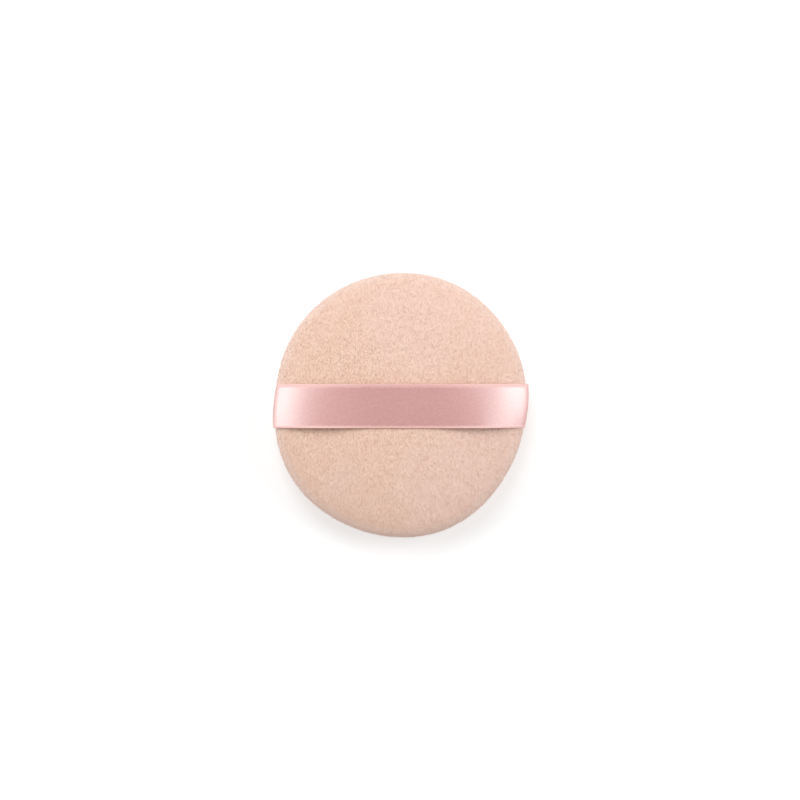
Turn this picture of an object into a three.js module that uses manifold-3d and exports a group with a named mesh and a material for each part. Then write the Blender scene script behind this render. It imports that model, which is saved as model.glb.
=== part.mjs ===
// A round powder puff. Two velour covers are sewn together round a foam core, turned right side
// out and closed by hand, and a satin ribbon caught in the side seam holds it to the fingers.
// Lengths are in millimetres and +Z is up. The puff lies on its powder face at z = 0, with the
// ribbon along X.

import * as THREE from "three";
import { mergeVertices } from "three/addons/utils/BufferGeometryUtils.js";
import Module from "manifold-3d";

const wasm = await Module();
wasm.setup();

// Pad
const padRadius = 44.2;
const seamHeight = 8.5;
const crownHeight = 17;
const baseCut = 0.5; // how much the pad's own weight flattens its underside
const crownPower = 2.3; // 2 is an ellipse, and more is fuller at the rim
const basePower = 3;
// The outline's departures from a circle: waves round it, cosine share, sine share.
const outlineShares = [
  [2, -0.023, 0.008],
  [3, -0.0015, 0],
  [4, -0.0025, 0.0045],
  [5, 0.0045, 0],
];

// Covers
const coverThickness = 1.8;
const foldRadius = 1;
const allowanceWidth = 6;
const allowanceThickness = 1;
const seamGap = 0.3;
const coreClearance = 0.3;

// Ribbon
const ribbonWidth = 15;
const ribbonThickness = 0.4;
const ribbonClearance = 0.3;
const ribbonBendRadius = 0.7;
const ribbonTail = 5.5;
const ribbonPower = 2.5;
const fingerGap = 5; // between the pad's crown and the ribbon's underside

// Stitches
const threadDiameter = 0.35;
const threadClearance = 0.15;
const seamInset = 3.6;
const stitchPitch = 5;
const closingInset = 2.8;
const closingPitch = 4;
const closingLength = 28;
const closingAngle = THREE.MathUtils.degToRad(320);
const cutOverrun = 1;

// Facets
const columns = 44;
const crownSteps = 7;
const liningSteps = 4;
const foldSteps = 2;
const ribbonArchSteps = 15;
const ribbonBendSteps = 3;
const ribbonStrips = 6;
const settlePasses = 8;

const turn = 2 * Math.PI;
const quarter = Math.PI / 2;
const allowanceTop = seamHeight + seamGap / 2 + allowanceThickness;
const allowanceBottom = seamHeight - seamGap / 2 - allowanceThickness;
const threadRoom = threadDiameter + threadClearance;
const threadTop = allowanceTop - seamHeight + threadClearance + threadDiameter / 2;
const coreFoot = threadTop + threadRoom;

function outlineRadius(angle) {
  const departures = outlineShares.map(
    ([waves, cosine, sine]) => cosine * Math.cos(waves * angle) + sine * Math.sin(waves * angle),
  );
  return padRadius * departures.reduce((sum, share) => sum + share, 1);
}

function outlinePoint(angle, share, inset, height) {
  const radius = share * (outlineRadius(angle) - inset);
  return new THREE.Vector3(radius * Math.cos(angle), radius * Math.sin(angle), height);
}

// How far the rim is from the middle along X, at a place along Y. side is 1 or -1.
function rimReach(side, y) {
  let tilt = 0;
  const radius = () => outlineRadius(side > 0 ? tilt : Math.PI - tilt);
  for (let pass = 0; pass < settlePasses; pass++) {
    tilt = Math.asin(y / radius());
  }
  return radius() * Math.cos(tilt);
}

function toSolid(geometry) {
  const bare = geometry.clone();
  bare.deleteAttribute("normal");
  bare.deleteAttribute("uv");
  const merged = mergeVertices(bare);
  return new wasm.Manifold(
    new wasm.Mesh({
      numProp: 3,
      vertProperties: merged.attributes.position.array,
      triVerts: new Uint32Array(merged.index.array),
    }),
  );
}

function toGeometry(solid) {
  const { vertProperties, triVerts } = solid.getMesh();
  return new THREE.BufferGeometry()
    .setAttribute("position", new THREE.BufferAttribute(vertProperties, 3))
    .setIndex(new THREE.BufferAttribute(triVerts, 1));
}

function indexedGeometry(points, faces) {
  return new THREE.BufferGeometry().setFromPoints(points).setIndex(faces);
}

// A closed solid through stations on a half section. The first pole faces up, the last one down.
function revolvedOutline(firstPole, stations, lastPole) {
  const points = [new THREE.Vector3(0, 0, firstPole)];
  for (const { share, inset, height } of stations) {
    for (let column = 0; column < columns; column++) {
      points.push(outlinePoint((column / columns) * turn, share, inset, height));
    }
  }
  points.push(new THREE.Vector3(0, 0, lastPole));
  const at = (ring, column) => 1 + ring * columns + (column % columns);
  const lastRing = stations.length - 1;
  const faces = [];
  for (let column = 0; column < columns; column++) {
    faces.push(0, at(0, column), at(0, column + 1));
    for (let ring = 0; ring < lastRing; ring++) {
      faces.push(at(ring, column), at(ring + 1, column), at(ring + 1, column + 1));
      faces.push(at(ring, column), at(ring + 1, column + 1), at(ring, column + 1));
    }
    faces.push(at(lastRing, column), points.length - 1, at(lastRing, column + 1));
  }
  return indexedGeometry(points, faces);
}

// Stations on a quarter superellipse from its pole, which is left out, to its foot. Where flat or
// floor is given, the dome is cut level there.
function domeStations({ inset, foot, pole, power, steps, flat = pole, floor = foot }) {
  const whole = Array.from({ length: steps + 1 }, (_, step) => {
    const angle = (step / steps) * quarter;
    const rise = Math.max(Math.cos(angle), 0) ** (2 / power);
    return { share: Math.sin(angle) ** (2 / power), inset, height: foot + (pole - foot) * rise };
  });
  const depth = (height) => (pole - height) / (pole - foot);
  const cutAt = (level) => {
    const next = whole.findIndex(({ height }) => depth(height) >= depth(level));
    const [above, below] = [whole[next - 1], whole[next]];
    const part = (level - above.height) / (below.height - above.height);
    return { share: THREE.MathUtils.lerp(above.share, below.share, part), inset, height: level };
  };
  const between = whole.filter(({ height }) => depth(height) > depth(flat) && depth(height) < depth(floor));
  return [...(flat === pole ? [] : [cutAt(flat)]), ...between, floor === foot ? whole[steps] : cutAt(floor)];
}

// The half section of one cover, from the middle of its outside round the fold to the middle of
// its inside. side is 1 for the cover above the seam and -1 for the one below it.
function coverStations(side, pole, power, flat) {
  const seamFace = seamHeight + (side * seamGap) / 2;
  const foot = seamFace + side * foldRadius;
  const outside = domeStations({ inset: 0, foot, pole, power, flat, steps: crownSteps });
  const fold = Array.from({ length: foldSteps }, (_, step) => {
    const bend = ((step + 1) / foldSteps) * quarter;
    return {
      share: 1,
      inset: foldRadius * (1 - Math.cos(bend)),
      height: foot - side * foldRadius * Math.sin(bend),
    };
  });
  const allowanceFace = seamFace + side * allowanceThickness;
  const allowance = [seamFace, allowanceFace].map((height) => ({ share: 1, inset: allowanceWidth, height }));
  const lining = domeStations({
    inset: coverThickness,
    foot: allowanceFace,
    pole: pole - side * coverThickness,
    power,
    steps: liningSteps,
  });
  return [...outside, ...fold, ...allowance, ...lining.reverse()];
}

// A cutter for one needle hole through both seam allowances.
function needleHole({ angle, inset, swing }) {
  const centre = outlinePoint(angle, 1, inset, seamHeight);
  const hole = new THREE.BoxGeometry(
    2 * (swing + threadDiameter / 2 + threadClearance),
    2 * (2 * threadRoom + threadClearance),
    2 * (threadTop + threadDiameter / 2 + threadClearance),
  );
  hole.rotateZ(angle);
  hole.translate(centre.x, centre.y, centre.z);
  return toSolid(hole);
}

// A cutter for the room that a ribbon tail takes between the seam allowances.
function tailSlot(side) {
  const outer = rimReach(side, 0) + cutOverrun;
  const inner = rimReach(side, 0) - ribbonTail - ribbonClearance;
  const slot = new THREE.BoxGeometry(
    outer - inner,
    ribbonWidth + 2 * ribbonClearance,
    ribbonThickness + 2 * ribbonClearance,
  );
  slot.translate((side * (outer + inner)) / 2, 0, seamHeight);
  return toSolid(slot);
}

// The angles of the needle holes of a seam between two angles, at an even pitch.
function holeAngles(from, to, inset, pitch) {
  const length = (to - from) * (padRadius - inset);
  const count = Math.max(2, Math.round(length / pitch));
  return Array.from({ length: count }, (_, hole) => from + ((hole + 0.5) / count) * (to - from));
}

const closingHalfAngle = closingLength / 2 / (padRadius - closingInset);
const machineAngles = holeAngles(
  closingAngle + closingHalfAngle,
  closingAngle - closingHalfAngle + turn,
  seamInset,
  stitchPitch,
);
const closingAngles = holeAngles(
  closingAngle - closingHalfAngle,
  closingAngle + closingHalfAngle,
  closingInset,
  closingPitch,
);

// The two threads of a lockstitch turn once round each other in every hole, so that each is the
// other's mirror through the seam line. twist is how far apart that holds them.
const twist = threadRoom / Math.SQRT2;
const needleHoles = [
  ...machineAngles.map((angle) => needleHole({ angle, inset: seamInset, swing: twist })),
  ...closingAngles.map((angle) => needleHole({ angle, inset: closingInset, swing: 0 })),
].reduce((all, hole) => all.add(hole));
const tailSlots = tailSlot(1).add(tailSlot(-1));

function frontCover() {
  const stations = coverStations(1, crownHeight, crownPower);
  const shell = revolvedOutline(crownHeight, stations, crownHeight - coverThickness);
  return toGeometry(toSolid(shell).subtract(needleHoles).subtract(tailSlots));
}

function backCover() {
  const stations = coverStations(-1, -baseCut, basePower, 0).reverse();
  const shell = revolvedOutline(coverThickness - baseCut, stations, 0);
  return toGeometry(toSolid(shell).subtract(needleHoles).subtract(tailSlots));
}

// The foam disc fills the covers and is nipped in round its edge by the seam allowances.
function foamCore() {
  const inset = coverThickness + coreClearance;
  const top = crownHeight - inset;
  const bottom = inset - baseCut;
  const waist = [coreFoot, -coreFoot].map((rise) => ({
    share: 1,
    inset: allowanceWidth + coreClearance,
    height: seamHeight + rise,
  }));
  const upper = domeStations({
    inset,
    foot: allowanceTop,
    pole: top,
    power: crownPower,
    steps: liningSteps,
    floor: seamHeight + coreFoot,
  });
  const lower = domeStations({
    inset,
    foot: allowanceBottom,
    pole: bottom,
    power: basePower,
    steps: liningSteps,
    floor: seamHeight - coreFoot,
  });
  return revolvedOutline(top, [...upper, ...waist, ...lower.reverse()], bottom);
}

// The middle of the ribbon's thickness from its left tail over the arch to its right tail, as
// points [x, z], for the strip at a place along Y.
function ribbonLine(y) {
  const springing = seamHeight + ribbonBendRadius;
  const rise = crownHeight + fingerGap + ribbonThickness / 2 - springing;
  const half = (side) => {
    const rim = rimReach(side, y);
    const reach = rim + ribbonClearance + ribbonThickness / 2;
    const arch = Array.from({ length: ribbonArchSteps }, (_, step) => {
      const angle = ((step + 1) / ribbonArchSteps) * quarter;
      const x = reach * Math.sin(angle) ** (2 / ribbonPower);
      return [side * x, springing + rise * Math.max(Math.cos(angle), 0) ** (2 / ribbonPower)];
    });
    const bend = Array.from({ length: ribbonBendSteps }, (_, step) => {
      const angle = ((step + 1) / ribbonBendSteps) * quarter;
      const x = reach - ribbonBendRadius * (1 - Math.cos(angle));
      return [side * x, springing - ribbonBendRadius * Math.sin(angle)];
    });
    return [...arch, ...bend, [side * (rimReach(side, 0) - ribbonTail), seamHeight]];
  };
  return [...half(-1).reverse(), [0, springing + rise], ...half(1)];
}

// A line's points moved square to it by a distance, to the left of its direction.
function offsetLine(line, distance) {
  return line.map(([x, z], index) => {
    const before = line[Math.max(index - 1, 0)];
    const after = line[Math.min(index + 1, line.length - 1)];
    const here = new THREE.Vector2(x, z);
    const along = new THREE.Vector2();
    for (const [from, to] of [[before, [x, z]], [[x, z], after]]) {
      along.add(new THREE.Vector2(to[0] - from[0], to[1] - from[1]).normalize());
    }
    along.normalize();
    return here.add(new THREE.Vector2(-along.y, along.x).multiplyScalar(distance));
  });
}

// A closed sheet between an upper and a lower grid of points of one size.
function sheetGeometry(upper, lower) {
  const rows = upper.length;
  const across = upper[0].length;
  const top = (row, place) => row * across + place;
  const under = (row, place) => rows * across + top(row, place);
  const faces = [];
  const quad = (a, b, c, d) => faces.push(a, b, c, a, c, d);
  for (let row = 0; row < rows - 1; row++) {
    for (let place = 0; place < across - 1; place++) {
      quad(top(row, place), top(row + 1, place), top(row + 1, place + 1), top(row, place + 1));
      quad(under(row, place), under(row, place + 1), under(row + 1, place + 1), under(row + 1, place));
    }
    const edge = across - 1;
    quad(top(row, 0), under(row, 0), under(row + 1, 0), top(row + 1, 0));
    quad(top(row, edge), top(row + 1, edge), under(row + 1, edge), under(row, edge));
  }
  for (let place = 0; place < across - 1; place++) {
    const end = rows - 1;
    quad(top(0, place), top(0, place + 1), under(0, place + 1), under(0, place));
    quad(top(end, place), under(end, place), under(end, place + 1), top(end, place + 1));
  }
  return indexedGeometry([...upper.flat(), ...lower.flat()], faces);
}

function fingerRibbon() {
  const places = Array.from({ length: ribbonStrips + 1 }, (_, strip) => {
    return (strip / ribbonStrips) * ribbonWidth - ribbonWidth / 2;
  });
  const grid = (distance) => {
    const strips = places.map((y) => {
      return offsetLine(ribbonLine(y), distance).map((place) => new THREE.Vector3(place.x, y, place.y));
    });
    return strips[0].map((_, row) => strips.map((strip) => strip[row]));
  };
  const sheet = sheetGeometry(grid(ribbonThickness / 2), grid(-ribbonThickness / 2));
  return toGeometry(toSolid(sheet).subtract(needleHoles));
}

// A line of straight stretches whose steps fall on its own points.
class ThreadLine extends THREE.Curve {
  constructor(points) {
    super();
    this.points = points;
  }
  getPointAt(share) {
    return this.points[Math.round(share * (this.points.length - 1))].clone();
  }
  getTangentAt(share) {
    const index = Math.round(share * (this.points.length - 1));
    const here = this.points[index];
    const before = this.points[index - 1] ?? here;
    const after = this.points[index + 1] ?? here;
    const leaving = after.clone().sub(here).normalize();
    return here.clone().sub(before).normalize().add(leaving).normalize();
  }
}

function threadGeometry(points) {
  const radius = threadDiameter / 2;
  const section = new THREE.Shape([
    new THREE.Vector2(radius, 0),
    new THREE.Vector2(0, radius),
    new THREE.Vector2(-radius, 0),
    new THREE.Vector2(0, -radius),
  ]);
  return new THREE.ExtrudeGeometry(section, {
    steps: points.length - 1,
    bevelEnabled: false,
    extrudePath: new ThreadLine(points),
  });
}

// A place beside a needle hole: along the seam, across it towards the rim, and up.
function besideHole(angle, inset, along, across, up) {
  const step = along / (padRadius - inset);
  return outlinePoint(angle + step, 1, inset - across, seamHeight + up);
}

// One thread of the machine seam. side is 1 for the needle thread, which lies over the upper
// allowance, and -1 for the bobbin thread, which lies under the lower one.
function lockstitchThread(side) {
  const points = machineAngles.flatMap((angle) =>
    [
      [-2 * threadRoom, 0, threadTop],
      [-threadRoom, twist, 0],
      [0, 0, -twist],
      [threadRoom, -twist, 0],
      [2 * threadRoom, 0, threadTop],
    ].map(([along, across, up]) => besideHole(angle, seamInset, along, side * across, side * up)),
  );
  return threadGeometry(points);
}

// The hand-sewn thread runs inside one fold and then the other, and crosses at each hole.
function closingThread() {
  const points = closingAngles.flatMap((angle, hole) => {
    const from = hole % 2 === 0 ? threadTop : -threadTop;
    return [
      [-threadRoom, from],
      [0, 0],
      [threadRoom, -from],
    ].map(([along, up]) => besideHole(angle, closingInset, along, 0, up));
  });
  return threadGeometry(points);
}

const velour = { color: 0xefcbb8, roughness: 0.95, metalness: 0 };
const foam = { color: 0xf5ecd8, roughness: 0.9, metalness: 0 };
const satin = { color: 0xdfaaa7, roughness: 0.35, metalness: 0 };
const sewingThread = { color: 0xf0d2c4, roughness: 0.6, metalness: 0 };

function piece(name, geometry, finish) {
  const mesh = new THREE.Mesh(geometry, new THREE.MeshStandardMaterial(finish));
  mesh.name = name;
  return mesh;
}

const pieces = new THREE.Group();
pieces.add(
  piece("front_cover", frontCover(), velour),
  piece("back_cover", backCover(), velour),
  piece("foam_core", foamCore(), foam),
  piece("finger_ribbon", fingerRibbon(), satin),
  piece("rim_needle_thread", lockstitchThread(1), sewingThread),
  piece("rim_bobbin_thread", lockstitchThread(-1), sewingThread),
  piece("closing_thread", closingThread(), sewingThread),
);

// The outline isn't quite even, so the pieces are moved to have their middle over the origin.
const middle = new THREE.Box3().setFromObject(pieces).getCenter(new THREE.Vector3());
pieces.position.set(-middle.x, -middle.y, 0);

const powderPuff = new THREE.Group();
powderPuff.name = "powder_puff";
powderPuff.add(pieces);

export default powderPuff;
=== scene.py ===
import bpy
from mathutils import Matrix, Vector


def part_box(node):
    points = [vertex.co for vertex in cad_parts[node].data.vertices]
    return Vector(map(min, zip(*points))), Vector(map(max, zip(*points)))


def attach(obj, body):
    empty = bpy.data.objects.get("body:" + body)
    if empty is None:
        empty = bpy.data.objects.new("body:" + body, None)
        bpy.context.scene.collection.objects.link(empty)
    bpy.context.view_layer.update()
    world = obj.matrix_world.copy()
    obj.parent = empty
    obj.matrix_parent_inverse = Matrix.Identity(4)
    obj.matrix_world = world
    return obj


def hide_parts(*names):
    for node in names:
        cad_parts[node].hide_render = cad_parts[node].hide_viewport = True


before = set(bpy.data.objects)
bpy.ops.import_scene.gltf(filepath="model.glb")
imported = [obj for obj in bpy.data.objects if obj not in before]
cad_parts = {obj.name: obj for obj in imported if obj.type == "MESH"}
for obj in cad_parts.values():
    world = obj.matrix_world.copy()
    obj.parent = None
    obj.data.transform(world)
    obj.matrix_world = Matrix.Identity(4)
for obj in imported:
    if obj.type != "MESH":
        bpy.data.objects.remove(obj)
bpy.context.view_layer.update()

import math

import bpy
import numpy as np
from mathutils import Vector

bl_info = {
    "name": "Powder puff",
    "version": (1, 0, 0),
    "blender": (4, 5, 0),
    "location": "View3D > Sidebar > Powder puff",
    "description": "Builds a round velour powder puff with a satin finger ribbon",
    "category": "Object",
}

TURN = 2 * math.pi
QUARTER = math.pi / 2
MM = 0.001

# The outline's departures from a circle, as in the part's source: waves round it, cosine share,
# sine share.
OUTLINE_SHARES = ((2, -0.023, 0.008), (3, -0.0015, 0.0), (4, -0.0025, 0.0045), (5, 0.0045, 0.0))
CAD_COLUMNS = 44
# How the limp ribbon lies over the pad, from its middle to the rim: shares of the way along it, and
# how steeply it falls there, as shares of a right angle.
DRAPE_SHARES = (
    (0, 0), (0.25, 0.015), (0.51, 0.07), (0.68, 0.165), (0.75, 0.215), (0.8, 0.25), (0.85, 0.285),
    (0.92, 0.35), (0.95, 0.48), (0.975, 1), (1, 1),
)
UPPER, LOWER = 1, -1
SWELLING_STEPS = 20
# Where the soft lights stand, and their width and height, in metres. Their powers are in PuffStage.
SOFT_LIGHTS = {
    "Key": ((-0.12, 0.50, 0.95), 0.45, 0.45),
    "Far": ((-0.15, 0.75, 0.70), 0.5, 0.5),
    "Left": ((-0.73, 0.10, 0.425), 0.5, 0.25),
    "Right": ((0.69, 0.10, 0.49), 0.5, 0.4),
}
# The velour is brushed towards the near side and a little down.
BRUSHING = (0.0, -1.0, -0.35)
COVER_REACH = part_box("front_cover")[1]


def size_property(name, description, default, unit="LENGTH"):
    return bpy.props.FloatProperty(name=name, description=description, default=default, unit=unit)


def colour_property(name, description, shade):
    return bpy.props.StringProperty(name=name, description=description, default=shade)


class PuffPad(bpy.types.PropertyGroup):
    """Sizes of the padded disc"""

    radius: size_property("Radius", "Mean radius of the pad", 44.2 * MM)
    seam_height: size_property("Seam height", "Height of the rim seam above the table", 8.5 * MM)
    crown_height: size_property("Crown height", "Height of the pad's middle above the table", COVER_REACH.z)
    base_cut: size_property("Base cut", "How much the pad's own weight flattens its underside", 0.5 * MM)
    crown_power: size_property(
        "Crown fullness", "2 is an ellipse, and more is fuller at the rim", 2.3, "NONE"
    )
    base_power: size_property("Base fullness", "2 is an ellipse, and more is fuller at the rim", 3.0, "NONE")
    cover_thickness: size_property("Cover thickness", "Thickness of the velour with its pile", 1.8 * MM)
    fold_radius: size_property("Fold radius", "Radius of the velour's turned edge at the seam", 1.0 * MM)
    allowance_width: size_property("Allowance width", "Width of the turned-in seam allowance", 6.0 * MM)
    allowance_thickness: size_property(
        "Allowance thickness", "Thickness of the pressed seam allowance", 1.0 * MM
    )
    seam_gap: size_property("Seam gap", "Room between the two seam allowances", 0.3 * MM)
    core_clearance: size_property("Core clearance", "Room round the foam disc", 0.3 * MM)


class PuffPile(bpy.types.PropertyGroup):
    """Sizes of the velour's pile"""

    height: size_property(
        "Pile height", "How far the ground of the velour lies under the tips of its pile", 0.4 * MM
    )
    fibre_length: size_property("Fibre length", "Length of one tuft of fibres", 0.85 * MM)
    fibre_radius: size_property("Fibre radius", "Radius of one tuft of fibres at its root", 0.045 * MM)
    fibre_spacing: size_property("Fibre spacing", "Mean distance between tufts", 0.42 * MM)
    tuft_width: size_property("Tuft width", "Width of the streaks that brushed velour shows", 0.6 * MM)
    tuft_length: size_property("Tuft length", "Length of the streaks that brushed velour shows", 0.9 * MM)
    relief: size_property("Relief", "Depth of the streaks", 0.06 * MM)
    # The painted rim glow: over these widths from the rim the velour's colour goes paler, for the light that
    # shows through the fuzz there.
    rim_glow_full: size_property("Open pile", "From the rim to where the pile stands fully open", 0.2 * MM)
    rim_glow_end: size_property("End of open pile", "From the rim to where it lies closed again", 4.0 * MM)


class PuffRibbon(bpy.types.PropertyGroup):
    """Sizes of the finger ribbon"""

    width: size_property("Width", "Width of the satin ribbon", 15.0 * MM)
    thickness: size_property("Thickness", "Thickness of the satin ribbon", 0.24 * MM)
    near_room: size_property(
        "Room at the near edge",
        "From the cover to the near edge, where the limp ribbon flops down",
        0.15 * MM,
    )
    rim_room: size_property(
        "Room at the rim", "From the pad's rim to the middle of the ribbon's thickness", 0.1 * MM
    )
    aside: size_property(
        "Off centre", "How far to the right of the pad's middle the ribbon is sewn on", 0.1 * MM
    )
    forward: size_property("Forward", "How far in front of the pad's middle the ribbon is sewn on", 0.35 * MM)
    end_slant: size_property(
        "End slant", "How much the ends lie aslant on the rim, as a share of the place across", 0.05, "NONE"
    )
    bend_radius: size_property("Bend radius", "Radius of the turn into the seam", 0.7 * MM)
    tail: size_property("Tail", "How far the ribbon goes into the seam", 5.5 * MM)
    flat_length: size_property("Cut length", "Length that the ribbon is cut to", 109.0 * MM)
    selvedge: size_property("Selvedge", "Mean width of the plain woven edges", 1.0 * MM)
    uneven: size_property(
        "Selvedge difference",
        "How much wider than the mean the far woven edge is, and how much narrower the near one",
        0.2 * MM,
    )
    waviness: size_property("Waviness", "How far the limp ribbon waves up and down", 0.05 * MM)
    edge_waviness: size_property("Waviness of the edges", "How far its edges wave in and out", 0.06 * MM)
    near_lift: size_property("Lift of the near edge", "How far the near edge turns up", 0.1 * MM)
    far_drop: size_property("Drop of the far edge", "How far the far edge turns down", 0.05 * MM)
    near_turn: size_property("Turned near edge", "Width of the near edge that turns up", 0.7 * MM)
    far_turn: size_property("Turned far edge", "Width of the far edge that turns down", 2.0 * MM)


class PuffStitch(bpy.types.PropertyGroup):
    """Sizes of the seam's stitches"""

    thread_diameter: size_property("Thread diameter", "Diameter of the sewing thread", 0.35 * MM)
    thread_clearance: size_property("Thread clearance", "Room round a thread", 0.15 * MM)
    seam_inset: size_property("Seam inset", "From the rim to the machine seam", 3.6 * MM)
    pitch: size_property("Stitch pitch", "Length of a machine stitch", 5.0 * MM)
    closing_inset: size_property("Closing inset", "From the rim to the hand-sewn seam", 2.8 * MM)
    closing_pitch: size_property("Closing pitch", "Length of a hand stitch", 4.0 * MM)
    closing_length: size_property("Closing length", "Length of the hand-closed gap", 28.0 * MM)
    closing_angle: bpy.props.FloatProperty(
        name="Closing angle",
        description="Where the hand-closed gap is",
        default=math.radians(320),
        subtype="ANGLE",
    )


class PuffSwelling(bpy.types.PropertyGroup):
    """How far the sewn covers swell, and what holds them in"""

    most: size_property("Most swelling", "Furthest that a cover swells", 0.2 * MM)
    held_inset: size_property("Held part", "From the rim to where the allowance is held all round", 4.4 * MM)
    stitched_inset: size_property("Stitched part", "From the rim to where only stitches hold it", 2.4 * MM)
    stitch_reach: size_property("Stitch reach", "How far from its hole a stitch holds the cover", 1.1 * MM)
    ribbon_start: size_property(
        "Ribbon's hold", "From the pad's middle to where the ribbon begins to hold it in", 30.0 * MM
    )
    ribbon_full: size_property("Ribbon's full hold", "From the middle to where it holds fully", 36.0 * MM)
    beside_full: size_property("Beside the ribbon", "How far across it holds fully", 8.0 * MM)
    beside_end: size_property("Far beside the ribbon", "How far across its hold ends", 16.0 * MM)


class PuffColours(bpy.types.PropertyGroup):
    """Colours of the puff, as sRGB hex values"""

    velour: colour_property("Velour", "Peach of the velour's pile", "#E6C8B5")
    # Painted shade: the darker peach that the velour's base colour takes in the hollows of its streaks.
    velour_hollow_shade: colour_property("Velour ground", "Darker peach between the tufts", "#DDBAA8")
    velour_rose: colour_property("Velour rose", "Pinker places of the velour", "#E6C8BE")
    # Painted light: the paler colour that the velour takes at the rim, for the glow of the bright table
    # through its fuzz.
    velour_rim_glow: colour_property("Velour rim", "Paler sides of the fibres, which show at the rim", "#E5CBBE")
    pile: colour_property("Pile tips", "Peach of the loose fibre tips", "#E7CBBA")
    bloom: colour_property("Bloom", "Pale bloom of the pile where it turns away", "#FFE6DE")
    ribbon: colour_property("Ribbon", "Dusty pink of the satin", "#D38F89")
    # Both a real mottle of the dye and painted shade in the grooves between the floats.
    ribbon_mottle_and_shade: colour_property("Ribbon shade", "Darker pink between the satin's floats", "#C9847E")
    ribbon_edge: colour_property("Ribbon edge", "Pink of the woven edge", "#DA998F")
    foam: colour_property("Foam", "Cream of the foam disc", "#F3E9D2")
    # Painted shade in the foam's burst cells.
    foam_pit_shade: colour_property("Foam pits", "Darker cream in the burst cells", "#C9BC9E")
    thread: colour_property("Thread", "Peach of the sewing thread", "#EBC9B8")
    # Painted shade in the grooves between the twisted plies.
    thread_groove_shade: colour_property("Thread shade", "Darker peach between the plies", "#D3AE9C")


class PuffStage(bpy.types.PropertyGroup):
    """The view and the light"""

    view_x: size_property("View along X", "Where the camera looks straight down, along X", -0.17 * MM)
    view_y: size_property("View along Y", "Where the camera looks straight down, along Y", 1.7 * MM)
    frame_width: size_property("Frame width", "Width of the view at the seam's height", 272.0 * MM)
    camera_height: size_property("Camera height", "Height of the camera above the table", 1.6)
    key_power: size_property("Key light", "Power of the large soft light beyond the puff", 2.5, "POWER")
    far_power: size_property(
        "Far light", "Power of the soft light that stands lower beyond the puff", 2.8, "POWER"
    )
    left_power: size_property(
        "Left light", "Power of the tall soft light at the ribbon's left end", 3.1, "POWER"
    )
    right_power: size_property(
        "Right light", "Power of the tall soft light at the ribbon's right end", 3.8, "POWER"
    )
    table: colour_property("Table", "White of the table, as sRGB hex", "#C8C8C8")
    glow: colour_property("Glow", "Colour of the table's own light, as sRGB hex", "#FFFFFF")
    table_light: size_property("Table light", "Strength of the white table's own light", 0.46, "NONE")
    room_light: size_property("Room light", "Strength of the even light from all round", 0.33, "NONE")


def linear(shade):
    """A sRGB hex value as a linear colour"""
    parts = [int(shade[place : place + 2], 16) / 255 for place in (1, 3, 5)]
    levels = [part / 12.92 if part <= 0.04045 else ((part + 0.055) / 1.055) ** 2.4 for part in parts]
    return (*levels, 1.0)


def add_node(tree, kind, inputs=None, **settings):
    """One node with its settings. Each input is given a value, or the socket that feeds it."""
    node = tree.nodes.new(kind)
    for name, value in settings.items():
        setattr(node, name, value)
    for name, value in (inputs or {}).items():
        if isinstance(value, bpy.types.NodeSocket):
            tree.links.new(value, node.inputs[name])
        else:
            node.inputs[name].default_value = value
    return node


def calculate(tree, operation, *values):
    """A number worked out from numbers or sockets"""
    return add_node(tree, "ShaderNodeMath", dict(enumerate(values)), operation=operation).outputs[0]


def combine(tree, operation, *values):
    """A vector worked out from vectors or sockets"""
    return add_node(tree, "ShaderNodeVectorMath", dict(enumerate(values)), operation=operation).outputs[0]


def scale_vector(tree, value, factor):
    inputs = {0: value, "Scale": factor}
    return add_node(tree, "ShaderNodeVectorMath", inputs, operation="SCALE").outputs[0]


def noise_at(tree, place, detail, scale=1.0):
    return add_node(tree, "ShaderNodeTexNoise", {"Vector": place, "Scale": scale, "Detail": detail})


def clear_selection():
    if bpy.context.object and bpy.context.object.mode != "OBJECT":
        bpy.ops.object.mode_set(mode="OBJECT")
    bpy.ops.object.select_all(action="DESELECT")


def pick(piece):
    clear_selection()
    piece.select_set(True)
    bpy.context.view_layer.objects.active = piece


def apply_modifiers(piece):
    pick(piece)
    for name in [modifier.name for modifier in piece.modifiers]:
        bpy.ops.object.modifier_apply(modifier=name)


def coordinates(piece):
    flat = np.empty(len(piece.data.vertices) * 3)
    piece.data.vertices.foreach_get("co", flat)
    return flat.reshape(-1, 3)


def set_coordinates(piece, places):
    piece.data.vertices.foreach_set("co", np.asarray(places, float).ravel())
    piece.data.update()


def select_faces(piece, wanted):
    """Selects faces in edit mode by a test of their middle, and leaves the piece in edit mode"""
    pick(piece)
    bpy.ops.object.mode_set(mode="EDIT")
    bpy.ops.mesh.select_mode(type="FACE")
    bpy.ops.mesh.select_all(action="DESELECT")
    bpy.ops.object.mode_set(mode="OBJECT")
    for face in piece.data.polygons:
        face.select = wanted(face)
    bpy.ops.object.mode_set(mode="EDIT")


def outline_radius(pad, angle):
    """The pad's radius at an angle or an array of angles"""
    waves = sum(
        cosine * np.cos(count * angle) + sine * np.sin(count * angle)
        for count, cosine, sine in OUTLINE_SHARES
    )
    return pad.radius * (1 + waves)


def pad_middle(pad):
    """Where the frame puts the pad's own middle, from the furthest reach of the cover's columns"""
    columns = np.arange(CAD_COLUMNS) / CAD_COLUMNS * TURN
    reach = outline_radius(pad, columns)
    return np.array([
        COVER_REACH.x - (reach * np.cos(columns)).max(), COVER_REACH.y - (reach * np.sin(columns)).max()
    ])


def rim_reach(pad, side, y):
    """How far the rim is from the middle along X, at places along Y. side is 1 or -1."""
    tilt = np.zeros_like(y)
    for _ in range(8):
        tilt = np.arcsin(y / outline_radius(pad, tilt if side > 0 else math.pi - tilt))
    return outline_radius(pad, tilt if side > 0 else math.pi - tilt) * np.cos(tilt)


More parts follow.
